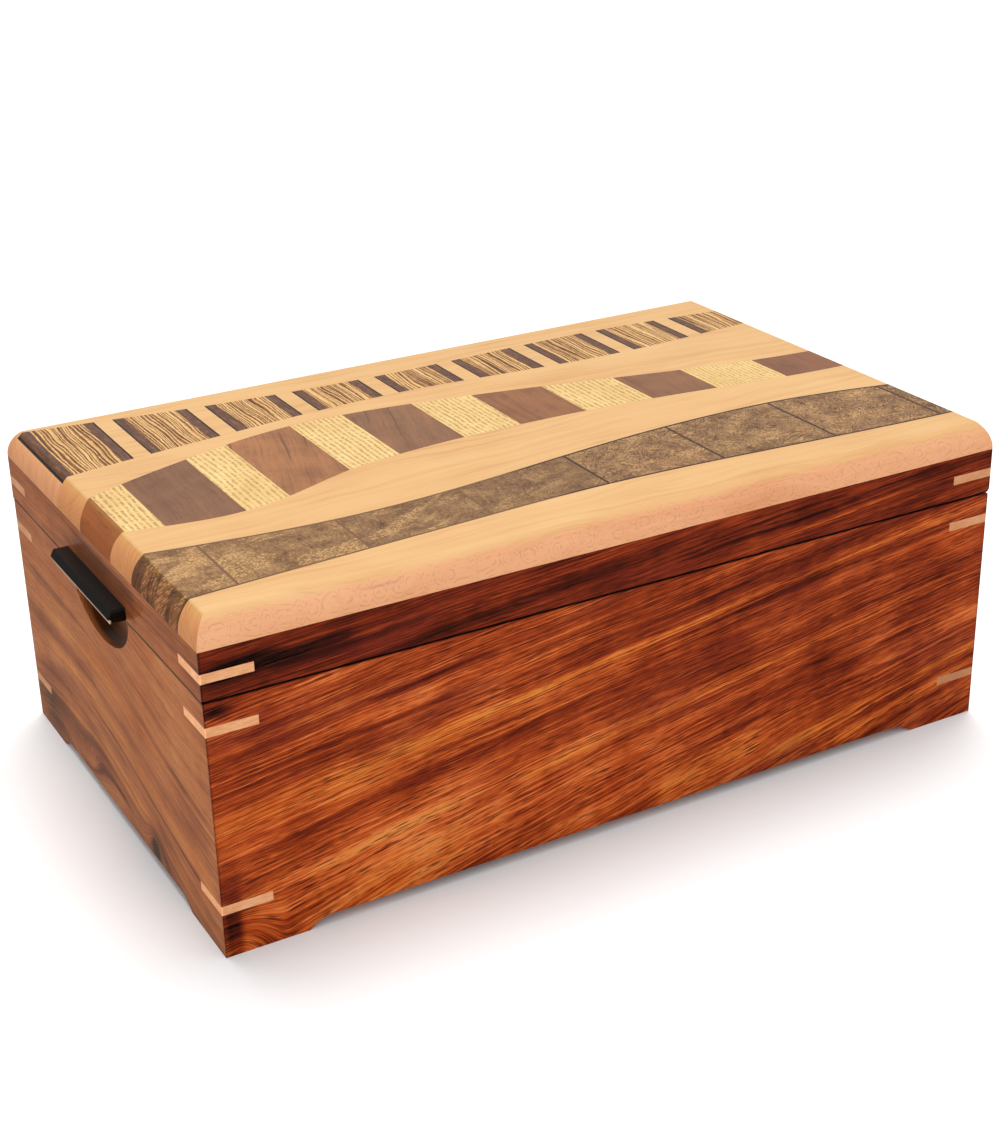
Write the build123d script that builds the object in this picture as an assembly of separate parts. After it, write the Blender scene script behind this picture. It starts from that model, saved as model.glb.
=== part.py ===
from build123d import *
import math
import os

# A lidded wooden box: a mitred base and a mitred lid frame with maple keys across their corners,
# a laminated lid panel of wavy strips and blocks, an ebony lift at the left end over a finger scoop,
# and two brass butt hinges at the right end.
# The box is drawn about its own centre and moved at export, so that the origin is at the middle of
# the whole object's footprint. X runs along the long side, Y to the back, Z up. Millimetres.

# ------------------------------------------------------------------ driving dimensions
LENGTH = 300.0
WIDTH = 184.5
WALL = 12.0
SEAM_HEIGHT = 88.9
SEAM_GAP = 0.3
LID_FRAME_TOP = 105.4
PANEL_THICKNESS = 9.9
PANEL_EDGE_RADIUS = 12.7
BASE_INSET = 0.2

FOOT_LENGTH = 28.5
FOOT_RELIEF = 3.5
FOOT_ARC_RADIUS = 12.0

KEY_LEG = 17.0
KEY_THICKNESS = 3.2
LID_KEY_HEIGHT = 95.1
UPPER_KEY_HEIGHT = 77.4
LOWER_KEY_HEIGHT = 15.5

FLOOR_HEIGHT = 7.0
FLOOR_THICKNESS = 5.0
FLOOR_GROOVE = 5.0
FELT_THICKNESS = 1.2
FELT_MARGIN = 0.4
BACKING_THICKNESS = 3.0

SCOOP_HALF_WIDTH = 29.0
SCOOP_HEIGHT = 17.8
SCOOP_DEPTH = 5.0

HANDLE_LENGTH = 57.6
HANDLE_REACH = 6.2
HANDLE_BOTTOM = 89.3
HANDLE_TOP = 93.9
HANDLE_MIDDLE = 91.7
HANDLE_TOP_FLAT = 5.0
HANDLE_BOTTOM_FLAT = 5.3
HANDLE_END_CHAMFER = 0.7
TONGUE_LENGTH = 44.0
TONGUE_THICKNESS = 2.2
TONGUE_DEPTH = 3.0

LID_HINGE_EDGE_RADIUS = 1.8
BASE_HINGE_EDGE_RADIUS = 1.0
HINGE_POSITIONS = {"front": -56.0, "back": 56.0}
HINGE_LENGTH = 38.0
HINGE_AXIS_OUT = 0.8
KNUCKLE_COUNT = 5
KNUCKLE_RADIUS = 1.9
KNUCKLE_GAP = 0.15
KNUCKLE_ROOM = 0.3
LEAF_WIDTH = 9.8
LEAF_THICKNESS = 1.5
PIN_RADIUS = 0.95
PIN_CLEARANCE = 0.05
PIN_END = 0.5
PIN_CHAMFER = 0.3
SCREW_SPACING = 13.0
SCREW_FROM_FACE = 5.6
SCREW_HEAD_RADIUS = 1.9
SCREW_HEAD_RIM = 0.2
SCREW_HEAD_DEPTH = 1.1
SCREW_SHANK_RADIUS = 1.0
SCREW_LENGTH = 9.0
SCREW_POINT_LENGTH = 2.0
SCREW_TIP_RADIUS = 0.25
SCREW_SLOT_WIDTH = 0.5
SCREW_SLOT_DEPTH = 0.4

# Wavy glue lines of the lid panel, from past its left end to past its right end. Each row of blocks
# lies between a line at its back and a line at its front.
CURVE_END = 156.0
ROW_A_BACK = [(-CURVE_END, 87.5), (-120, 82.3), (-86, 77.3), (-52, 74.0), (-5, 72.2), (50, 74.3),
              (85, 74.8), (116, 73.0), (CURVE_END, 68.5)]
ROW_A_FRONT = [(-CURVE_END, 33.5), (-120, 39.8), (-86, 44.3), (-52, 48.5), (-10, 50.8), (49, 46.8),
               (82, 45.5), (116, 47.3), (CURVE_END, 50.6)]
ROW_B_BACK = [(-CURVE_END, 7.6), (-132, 19.3), (-105, 29.3), (-80, 37.0), (-50, 40.5), (-14, 37.3),
              (36, 27.8), (90, 15.3), (119, 9.8), (CURVE_END, 6.2)]
ROW_B_FRONT = [(-CURVE_END, -17.6), (-132, -22.2), (-110, -24.6), (-88, -20.2), (-62, -10.2),
               (-41, -6.0), (9, -3.2), (64, -6.0), (119, -12.7), (CURVE_END, -14.6)]
ROW_C_BACK = [(-CURVE_END, -37.0), (-105, -44.5), (-80, -46.0), (-55, -45.2), (5, -37.7),
              (50, -32.7), (75, -31.8), (95, -32.2), (120, -35.2), (CURVE_END, -43.0)]
ROW_C_FRONT = [(-CURVE_END, -77.8), (-105, -74.0), (-55, -70.7), (0, -67.8), (50, -69.7),
               (95, -73.2), (CURVE_END, -76.2)]

# Blocks within the rows, along X.
ZEBRANO_COUNT = 9
ZEBRANO_START = -147.2
ZEBRANO_PITCH = 33.75
ZEBRANO_BLOCK = 27.2
BLACK_VENEER = 0.7
BROWN_BAND = 3.5
FIRST_ASH_START = -144.5
WALNUT_WIDTH = 26.7
ASH_WIDTHS = [12.5, 17.0, 20.8, 23.2, 27.6, 29.4]
BURL_COUNT = 8
BURL_FIRST_JOINT = -129.3
BURL_PITCH = 44.9
BURL_VENEER = 1.0

# ------------------------------------------------------------------ values worked out from them
HALF_LENGTH = LENGTH / 2
HALF_WIDTH = WIDTH / 2
INSIDE_LENGTH = LENGTH - 2 * WALL
INSIDE_WIDTH = WIDTH - 2 * WALL
BASE_TOP = SEAM_HEIGHT - SEAM_GAP / 2
LID_BOTTOM = SEAM_HEIGHT + SEAM_GAP / 2
HINGE_AXIS_X = HALF_LENGTH + HINGE_AXIS_OUT
KNUCKLE_REACH = HINGE_AXIS_OUT + KNUCKLE_RADIUS
BOX_SHIFT = (HANDLE_REACH - KNUCKLE_REACH) / 2
FAR = 2 * LENGTH
OVERSHOOT = 1.0
MITRE_OVERSHOOT = 10.0
ON_FLOOR = (Align.CENTER, Align.CENTER, Align.MIN)
CORNERS = [(-1, -1), (1, -1), (1, 1), (-1, 1)]


def as_one_node(shapes):
    """Separate solids of one kind in a single compound."""
    return Compound([solid for shape in shapes for solid in shape.solids()])


# ------------------------------------------------------------------ mitred frames
def mitred_ring(low, high, inset):
    """The four walls between two heights in one piece, before they are cut apart."""
    height = high - low
    outside = Box(LENGTH - 2 * inset, WIDTH - 2 * inset, height, align=ON_FLOOR)
    inside = Box(INSIDE_LENGTH, INSIDE_WIDTH, height, align=ON_FLOOR)
    return Pos(0, 0, low) * (outside - inside)


def mitre_wedges():
    """Four upright prisms that meet on the 45 degree planes through the corners."""
    into = WALL + MITRE_OVERSHOOT
    x_out, y_out = HALF_LENGTH + MITRE_OVERSHOOT, HALF_WIDTH + MITRE_OVERSHOOT
    x_in, y_in = HALF_LENGTH - into, HALF_WIDTH - into
    outlines = {
        "front": [(-x_out, -y_out), (x_out, -y_out), (x_in, -y_in), (-x_in, -y_in)],
        "right": [(x_out, -y_out), (x_out, y_out), (x_in, y_in), (x_in, -y_in)],
        "back": [(x_out, y_out), (-x_out, y_out), (-x_in, y_in), (x_in, y_in)],
        "left": [(-x_out, y_out), (-x_out, -y_out), (-x_in, -y_in), (-x_in, y_in)],
    }
    return {
        side: extrude(make_face(Polyline(*outline, close=True)), amount=2 * SEAM_HEIGHT)
        for side, outline in outlines.items()
    }


def corner_keys(height, inset):
    """Four thin triangles let into saw cuts across the corners."""
    keys = []
    for side_x, side_y in CORNERS:
        x = side_x * (HALF_LENGTH - inset)
        y = side_y * (HALF_WIDTH - inset)
        outline = [(x, y), (x - side_x * KEY_LEG, y), (x, y - side_y * KEY_LEG)]
        face = make_face(Polyline(*outline, close=True))
        keys.append(Pos(0, 0, height) * extrude(face, amount=KEY_THICKNESS, dir=(0, 0, 1)))
    return keys


def rounded_hinge_edge(ring, top, radius):
    """Eases the outer right-hand edge of a ring at its top or its bottom."""
    level = ring.edges().filter_by(Axis.Y).group_by(Axis.Z)[-1 if top else 0]
    return fillet(level.sort_by(Axis.X)[-1], radius)


# ------------------------------------------------------------------ base
def foot_relief(half_side):
    """Upright outline of the low space between two feet, with arcs that run down to the floor."""
    arc_run = math.sqrt(FOOT_ARC_RADIUS ** 2 - (FOOT_ARC_RADIUS - FOOT_RELIEF) ** 2)
    start = half_side - FOOT_LENGTH
    flat = start - arc_run
    centre_z = FOOT_RELIEF - FOOT_ARC_RADIUS
    mid_angle = (math.pi / 2 + math.atan2(-centre_z, arc_run)) / 2
    mid_x = flat + FOOT_ARC_RADIUS * math.cos(mid_angle)
    mid_z = centre_z + FOOT_ARC_RADIUS * math.sin(mid_angle)
    outline = Polyline((-start, 0), (-start, -OVERSHOOT), (start, -OVERSHOOT), (start, 0))
    outline += ThreePointArc((start, 0), (mid_x, mid_z), (flat, FOOT_RELIEF))
    outline += Line((flat, FOOT_RELIEF), (-flat, FOOT_RELIEF))
    outline += ThreePointArc((-flat, FOOT_RELIEF), (-mid_x, mid_z), (-start, 0))
    return make_face(outline)


def relief_cutters():
    """The spaces under the long walls and under the short walls."""
    under_long_walls = extrude(Plane.XZ * foot_relief(HALF_LENGTH), amount=FAR, both=True)
    under_short_walls = extrude(Plane.YZ * foot_relief(HALF_WIDTH), amount=FAR, both=True)
    return under_long_walls, under_short_walls


def finger_scoop():
    """A flat-backed half-ellipse pocket at the top of the left wall, below the lift."""
    reach = OVERSHOOT + BASE_INSET + SCOOP_DEPTH
    pocket = extrude(Ellipse(SCOOP_HEIGHT, SCOOP_HALF_WIDTH), amount=reach)
    return Pos(-HALF_LENGTH - OVERSHOOT, 0, SEAM_HEIGHT) * Rot(0, 90, 0) * pocket


def bottom_panel():
    """The floor board, held in grooves on all four sides."""
    length = INSIDE_LENGTH + 2 * FLOOR_GROOVE
    width = INSIDE_WIDTH + 2 * FLOOR_GROOVE
    return Pos(0, 0, FLOOR_HEIGHT) * Box(length, width, FLOOR_THICKNESS, align=ON_FLOOR)


def felt_lining():
    """The felt that lies on the floor board."""
    length = INSIDE_LENGTH - 2 * FELT_MARGIN
    width = INSIDE_WIDTH - 2 * FELT_MARGIN
    floor_top = FLOOR_HEIGHT + FLOOR_THICKNESS
    return Pos(0, 0, floor_top) * Box(length, width, FELT_THICKNESS, align=ON_FLOOR)


def add_base(parts, hinge_cutters):
    """Walls, corner keys, floor board and felt."""
    upper_keys = corner_keys(UPPER_KEY_HEIGHT, BASE_INSET)
    lower_keys = corner_keys(LOWER_KEY_HEIGHT, BASE_INSET)
    ring = rounded_hinge_edge(mitred_ring(0, BASE_TOP, BASE_INSET), True, BASE_HINGE_EDGE_RADIUS)
    long_relief, short_relief = relief_cutters()
    cutters = upper_keys + lower_keys + hinge_cutters
    cutters += [long_relief, short_relief, finger_scoop(), bottom_panel()]
    for cutter in cutters:
        ring -= cutter
    for side, wedge in mitre_wedges().items():
        parts[f"base_{side}_wall"] = ring & wedge
    parts["base_upper_keys"] = as_one_node(upper_keys)
    parts["base_lower_keys"] = as_one_node(lower_keys)
    parts["bottom_panel"] = bottom_panel()
    parts["felt_lining"] = felt_lining()


# ------------------------------------------------------------------ lid frame
def lift_handle():
    """A six-sided bar along the left end of the lid, with a tongue let into the rail."""
    section = make_face(Polyline(
        (0, HANDLE_BOTTOM), (-HANDLE_BOTTOM_FLAT, HANDLE_BOTTOM), (-HANDLE_REACH, HANDLE_MIDDLE),
        (-HANDLE_TOP_FLAT, HANDLE_TOP), (0, HANDLE_TOP), close=True))
    bar = extrude(Plane.XZ * section, amount=HANDLE_LENGTH / 2, both=True)
    end_faces = bar.faces().sort_by(Axis.Y)
    end_edges = end_faces[0].edges() + end_faces[-1].edges()
    against_rail = end_edges.group_by(Axis.X)[-1]
    bar = chamfer([edge for edge in end_edges if edge not in against_rail], HANDLE_END_CHAMFER)
    return Pos(-HALF_LENGTH, 0, 0) * (bar + handle_tongue())


def handle_tongue():
    """The lift's tongue, from the face of the rail inwards."""
    tongue = Box(TONGUE_DEPTH, TONGUE_LENGTH, TONGUE_THICKNESS,
                 align=(Align.MIN, Align.CENTER, Align.CENTER))
    return Pos(0, 0, HANDLE_MIDDLE) * tongue


def add_lid_frame(parts, hinge_cutters):
    """Rails, corner keys, the board under the panel, and the lift."""
    keys = corner_keys(LID_KEY_HEIGHT, 0)
    ring = mitred_ring(LID_BOTTOM, LID_FRAME_TOP, 0)
    ring = rounded_hinge_edge(ring, False, LID_HINGE_EDGE_RADIUS)
    for cutter in keys + hinge_cutters + [Pos(-HALF_LENGTH, 0, 0) * handle_tongue()]:
        ring -= cutter
    for side, wedge in mitre_wedges().items():
        parts[f"lid_{side}_rail"] = ring & wedge
    parts["lid_keys"] = as_one_node(keys)
    board = Box(INSIDE_LENGTH, INSIDE_WIDTH, BACKING_THICKNESS, align=ON_FLOOR)
    parts["lid_backing_board"] = Pos(0, 0, LID_FRAME_TOP - BACKING_THICKNESS) * board
    parts["lift_handle"] = lift_handle()


# ------------------------------------------------------------------ laminated lid panel
def panel_profile(half_side):
    """Section of the panel: a flat top between two quarter-like arcs that start upright."""
    drop = math.sqrt(PANEL_EDGE_RADIUS ** 2 - PANEL_THICKNESS ** 2)
    crease = half_side - PANEL_EDGE_RADIUS + drop
    half_turn = math.asin(PANEL_THICKNESS / PANEL_EDGE_RADIUS) / 2
    mid_x = half_side - PANEL_EDGE_RADIUS * (1 - math.cos(half_turn))
    mid_z = PANEL_EDGE_RADIUS * math.sin(half_turn)
    outline = Line((-half_side, 0), (half_side, 0))
    outline += ThreePointArc((half_side, 0), (mid_x, mid_z), (crease, PANEL_THICKNESS))
    outline += Line((crease, PANEL_THICKNESS), (-crease, PANEL_THICKNESS))
    outline += ThreePointArc((-crease, PANEL_THICKNESS), (-mid_x, mid_z), (-half_side, 0))
    return make_face(outline)


def panel_blank():
    """The whole panel before its glue lines: both sections run through and kept where they meet."""
    along_width = extrude(Plane.XZ * panel_profile(HALF_LENGTH), amount=FAR, both=True)
    along_length = extrude(Plane.YZ * panel_profile(HALF_WIDTH), amount=FAR, both=True)
    return Pos(0, 0, LID_FRAME_TOP) * (along_width & along_length)


def in_front_of(curve, shift=0.0):
    """An upright prism that fills everything in front of one wavy glue line."""
    points = [(x, y + shift) for x, y in curve]
    first, last = points[0], points[-1]
    outline = Spline(*points)
    outline += Polyline(last, (last[0], -WIDTH), (first[0], -WIDTH), first)
    prism = extrude(make_face(outline), amount=PANEL_THICKNESS + 2 * OVERSHOOT)
    return Pos(0, 0, LID_FRAME_TOP - OVERSHOOT) * prism


def slab(left, right):
    """An upright slab across the panel between two places along its length."""
    blank = Box(right - left, FAR, 2 * PANEL_THICKNESS,
                align=(Align.MIN, Align.CENTER, Align.CENTER))
    return Pos(left, 0, LID_FRAME_TOP + PANEL_THICKNESS / 2) * blank


def add_zebrano_row(parts, row):
    """Zebrano blocks, each between two brown bands and two black veneers, with maple between."""
    bands, veneers, spacers = [], [], [row & slab(-CURVE_END, ZEBRANO_START)]
    for number in range(ZEBRANO_COUNT):
        left = ZEBRANO_START + number * ZEBRANO_PITCH
        core_left = left + BLACK_VENEER + BROWN_BAND
        veneers.append(row & slab(left, left + BLACK_VENEER))
        bands.append(row & slab(left + BLACK_VENEER, core_left))
        if number == ZEBRANO_COUNT - 1:
            parts[f"zebrano_block_{number + 1}"] = row & slab(core_left, CURVE_END)
            continue
        right = left + ZEBRANO_BLOCK
        core_right = right - BLACK_VENEER - BROWN_BAND
        parts[f"zebrano_block_{number + 1}"] = row & slab(core_left, core_right)
        bands.append(row & slab(core_right, right - BLACK_VENEER))
        veneers.append(row & slab(right - BLACK_VENEER, right))
        spacers.append(row & slab(right, left + ZEBRANO_PITCH))
    parts["brown_bands"] = as_one_node(bands)
    parts["maple_spacers"] = as_one_node(spacers)
    return veneers


def add_walnut_and_ash_row(parts, row):
    """Walnut blocks of one width with ash blocks between them that widen to the right."""
    left = FIRST_ASH_START
    parts["walnut_block_1"] = row & slab(-CURVE_END, left)
    for number, ash_width in enumerate(ASH_WIDTHS, start=1):
        ash_right = left + ash_width
        walnut_right = ash_right + WALNUT_WIDTH if number < len(ASH_WIDTHS) else CURVE_END
        parts[f"ash_block_{number}"] = row & slab(left, ash_right)
        parts[f"walnut_block_{number + 1}"] = row & slab(ash_right, walnut_right)
        left = walnut_right


def add_burl_row(parts, row):
    """Burl blocks with a dark veneer at each joint."""
    veneers = []
    left = -CURVE_END
    for number in range(1, BURL_COUNT + 1):
        joint = BURL_FIRST_JOINT + (number - 1) * BURL_PITCH
        last = number == BURL_COUNT
        right = CURVE_END if last else joint - BURL_VENEER / 2
        parts[f"burl_block_{number}"] = row & slab(left, right)
        left = joint + BURL_VENEER / 2
        if not last:
            veneers.append(row & slab(right, left))
    return veneers


def add_panel(parts):
    """Four maple strips with three rows of blocks between them."""
    blank = panel_blank()
    a_back, a_front = in_front_of(ROW_A_BACK), in_front_of(ROW_A_FRONT)
    b_back, b_front = in_front_of(ROW_B_BACK), in_front_of(ROW_B_FRONT)
    c_back, c_front = in_front_of(ROW_C_BACK), in_front_of(ROW_C_FRONT)
    c_core_back = in_front_of(ROW_C_BACK, -BURL_VENEER)
    c_core_front = in_front_of(ROW_C_FRONT, BURL_VENEER)
    parts["maple_strip_back"] = blank - a_back
    parts["maple_strip_upper"] = (blank & a_front) - b_back
    parts["maple_strip_lower"] = (blank & b_front) - c_back
    parts["maple_strip_front"] = blank & c_front
    veneers = add_zebrano_row(parts, (blank & a_back) - a_front)
    add_walnut_and_ash_row(parts, (blank & b_back) - b_front)
    veneers.append((blank & c_back) - c_core_back)
    veneers += add_burl_row(parts, (blank & c_core_back) - c_core_front)
    veneers.append((blank & c_core_front) - c_front)
    parts["dark_veneers"] = as_one_node(veneers)


# ------------------------------------------------------------------ hinges
def along_y(radius, low, high):
    """A cylinder on the hinge axis between two places along Y."""
    cylinder = Cylinder(radius, high - low, align=ON_FLOOR)
    return Pos(HINGE_AXIS_X, high, SEAM_HEIGHT) * Rot(90, 0, 0) * cylinder


def knuckle_spans(middle):
    """Where each knuckle of a hinge starts and ends along Y, and which leaf it belongs to."""
    pitch = HINGE_LENGTH / KNUCKLE_COUNT
    spans = []
    for number in range(KNUCKLE_COUNT):
        low = middle - HINGE_LENGTH / 2 + number * pitch
        spans.append((low, low + pitch, "base" if number % 2 == 0 else "lid"))
    return spans


def leaf_plate(middle, side):
    """The flat plate of a leaf, in a mortise in the edge of the wall or the rail."""
    low = BASE_TOP - LEAF_THICKNESS if side == "base" else LID_BOTTOM
    width = LEAF_WIDTH + HINGE_AXIS_OUT
    plate = Box(width, HINGE_LENGTH, LEAF_THICKNESS, align=(Align.MAX, Align.CENTER, Align.MIN))
    return Pos(HINGE_AXIS_X, middle, low) * plate


def hinge_screw(middle, side, slotted):
    """A countersunk wood screw, flush with its leaf, pointing into the wood."""
    rim = Cylinder(SCREW_HEAD_RADIUS, SCREW_HEAD_RIM, align=ON_FLOOR)
    cone = Cone(SCREW_HEAD_RADIUS, SCREW_SHANK_RADIUS, SCREW_HEAD_DEPTH, align=ON_FLOOR)
    point_start = SCREW_LENGTH - SCREW_POINT_LENGTH
    shank = Cylinder(SCREW_SHANK_RADIUS, point_start, align=ON_FLOOR)
    point = Cone(SCREW_SHANK_RADIUS, SCREW_TIP_RADIUS, SCREW_POINT_LENGTH, align=ON_FLOOR)
    screw = rim + Pos(0, 0, SCREW_HEAD_RIM) * cone + shank + Pos(0, 0, point_start) * point
    if slotted:
        screw -= Box(FAR, SCREW_SLOT_WIDTH, 2 * SCREW_SLOT_DEPTH)
    place = Pos(HALF_LENGTH - SCREW_FROM_FACE, middle, BASE_TOP if side == "base" else LID_BOTTOM)
    return place * (Rot(180, 0, 0) if side == "base" else Rot(0, 0, 0)) * screw


def leaf(middle, side):
    """One leaf: its plate, its own knuckles, and room for the other leaf's knuckles."""
    shape = leaf_plate(middle, side)
    for low, high, owner in knuckle_spans(middle):
        if owner != side:
            shape -= along_y(KNUCKLE_RADIUS + KNUCKLE_ROOM, low, high)
    for low, high, owner in knuckle_spans(middle):
        if owner == side:
            shape += along_y(KNUCKLE_RADIUS, low + KNUCKLE_GAP / 2, high - KNUCKLE_GAP / 2)
    bore = PIN_RADIUS if side == "base" else PIN_RADIUS + PIN_CLEARANCE
    shape -= along_y(bore, middle - HINGE_LENGTH, middle + HINGE_LENGTH)
    for offset in (-SCREW_SPACING, 0, SCREW_SPACING):
        shape -= hinge_screw(middle + offset, side, False)
    return shape


def hinge_pin(middle):
    """The pin through all knuckles, a little proud at each end."""
    half = HINGE_LENGTH / 2 + PIN_END
    pin = along_y(PIN_RADIUS, middle - half, middle + half)
    return chamfer(pin.edges().filter_by(GeomType.CIRCLE), PIN_CHAMFER)


def add_hinges(parts):
    """Both hinges. Returns what each side of the box has to be cut away for them."""
    screws = {"base": [], "lid": []}
    cutters = {"base": [], "lid": []}
    for place, middle in HINGE_POSITIONS.items():
        parts[f"{place}_hinge_pin"] = hinge_pin(middle)
        half_room = HINGE_LENGTH / 2 + PIN_END + KNUCKLE_ROOM
        barrel_room = along_y(KNUCKLE_RADIUS + KNUCKLE_ROOM, middle - half_room, middle + half_room)
        for side in ("base", "lid"):
            parts[f"{place}_hinge_{side}_leaf"] = leaf(middle, side)
            cutters[side] += [barrel_room, leaf_plate(middle, side)]
            for offset in (-SCREW_SPACING, 0, SCREW_SPACING):
                screws[side].append(hinge_screw(middle + offset, side, True))
                cutters[side].append(hinge_screw(middle + offset, side, False))
    for side in ("base", "lid"):
        parts[f"{side}_hinge_screws"] = as_one_node(screws[side])
    return cutters


# ------------------------------------------------------------------ assembly and export
def build():
    parts = {}
    hinge_cutters = add_hinges(parts)
    add_base(parts, hinge_cutters["base"])
    add_lid_frame(parts, hinge_cutters["lid"])
    add_panel(parts)
    return parts


os.makedirs("parts", exist_ok=True)
for name, shape in build().items():
    solids = [Pos(BOX_SHIFT, 0, 0) * solid for solid in shape.solids()]
    export_step(solids[0] if len(solids) == 1 else Compound(solids), f"parts/{name}.step")
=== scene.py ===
from math import radians

import bpy
import bmesh
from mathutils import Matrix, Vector, noise as turbulence


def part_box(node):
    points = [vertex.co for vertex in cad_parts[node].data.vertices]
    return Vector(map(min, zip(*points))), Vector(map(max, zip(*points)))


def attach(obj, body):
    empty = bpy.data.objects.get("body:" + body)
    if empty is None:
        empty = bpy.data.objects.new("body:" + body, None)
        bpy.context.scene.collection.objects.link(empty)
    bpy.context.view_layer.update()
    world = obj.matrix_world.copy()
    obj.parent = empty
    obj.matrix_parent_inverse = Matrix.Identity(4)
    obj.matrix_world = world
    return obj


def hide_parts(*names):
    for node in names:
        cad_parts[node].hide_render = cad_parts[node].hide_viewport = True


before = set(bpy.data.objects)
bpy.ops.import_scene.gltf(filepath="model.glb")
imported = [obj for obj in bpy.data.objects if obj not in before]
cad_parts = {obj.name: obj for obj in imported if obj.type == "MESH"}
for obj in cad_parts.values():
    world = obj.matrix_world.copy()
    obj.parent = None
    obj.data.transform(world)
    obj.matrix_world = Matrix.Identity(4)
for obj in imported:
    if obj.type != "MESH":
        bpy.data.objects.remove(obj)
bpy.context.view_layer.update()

MM = 0.001

# The box as the frame gives it, in millimetres. The front wall spans its whole length.
wall_low, wall_high = (Vector(corner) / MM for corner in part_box("base_front_wall"))
rail_low, rail_high = (Vector(corner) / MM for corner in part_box("lid_front_rail"))
MIDDLE_X = (wall_low.x + wall_high.x) / 2
HALF_LENGTH = (wall_high.x - wall_low.x) / 2
HALF_WIDTH = -wall_low.y
SEAM = (wall_high.z + rail_low.z) / 2
HANDLE_REACH = MIDDLE_X - HALF_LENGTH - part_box("lift_handle")[0][0] / MM
HANDLE_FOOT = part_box("lift_handle")[0][2] / MM
TOP = max(corner[2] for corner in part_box("maple_strip_front")) / MM


# ---------------------------------------------------------------- fields
# A field is a number or colour that varies over a surface. Arithmetic on it adds Math nodes.

class Field:
    def __init__(self, tree, socket):
        self.tree = tree
        self.socket = socket

    def math(self, operation, *others):
        node = self.tree.nodes.new("ShaderNodeMath")
        node.operation = operation
        for value, socket in zip((self, *others), node.inputs):
            feed(self.tree, value, socket)
        return Field(self.tree, node.outputs[0])

    def __add__(self, other):
        return self.math("ADD", other)

    def __sub__(self, other):
        return self.math("SUBTRACT", other)

    def __rsub__(self, other):
        return (self * -1.0).math("ADD", other)

    def __mul__(self, other):
        return self.math("MULTIPLY", other)

    def __truediv__(self, other):
        return self.math("DIVIDE", other)

    def rise(self, start, end):
        """0 below start, 1 above end and a smooth step between."""
        node = self.tree.nodes.new("ShaderNodeMapRange")
        node.interpolation_type = "SMOOTHSTEP"
        feed(self.tree, self, node.inputs["Value"])
        low, high = min(start, end), max(start, end)
        node.inputs["From Min"].default_value = low
        node.inputs["From Max"].default_value = high
        node.inputs["To Min"].default_value = 0.0 if start < end else 1.0
        node.inputs["To Max"].default_value = 1.0 if start < end else 0.0
        return Field(self.tree, node.outputs["Result"])

    def bell(self, centre, half_width):
        """1 at centre, fading to nothing about two half widths away."""
        offset = (self - centre) / half_width
        return (offset * offset * -1.0).math("EXPONENT")


def feed(tree, value, socket):
    if isinstance(value, Field):
        tree.links.new(value.socket, socket)
    else:
        socket.default_value = value


def linear(red, green, blue):
    """A colour given as it looks on a screen, 0 to 255, in the renderer's linear light."""
    def channel(value):
        value /= 255
        return value / 12.92 if value <= 0.04045 else ((value + 0.055) / 1.055) ** 2.4
    return (channel(red), channel(green), channel(blue), 1.0)


class Mixer:
    """Mixes colours in a node tree."""

    def __init__(self, tree):
        self.tree = tree

    def mix(self, base, top, amount, mode="MIX"):
        node = self.tree.nodes.new("ShaderNodeMix")
        node.data_type = "RGBA"
        node.blend_type = mode
        feed(self.tree, amount, node.inputs["Factor"])
        for value, name in ((base, "A"), (top, "B")):
            socket = next(s for s in node.inputs if s.name == name and s.type == "RGBA")
            feed(self.tree, linear(*value) if isinstance(value, tuple) else value, socket)
        result = next(s for s in node.outputs if s.type == "RGBA")
        return Field(self.tree, result)


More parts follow.
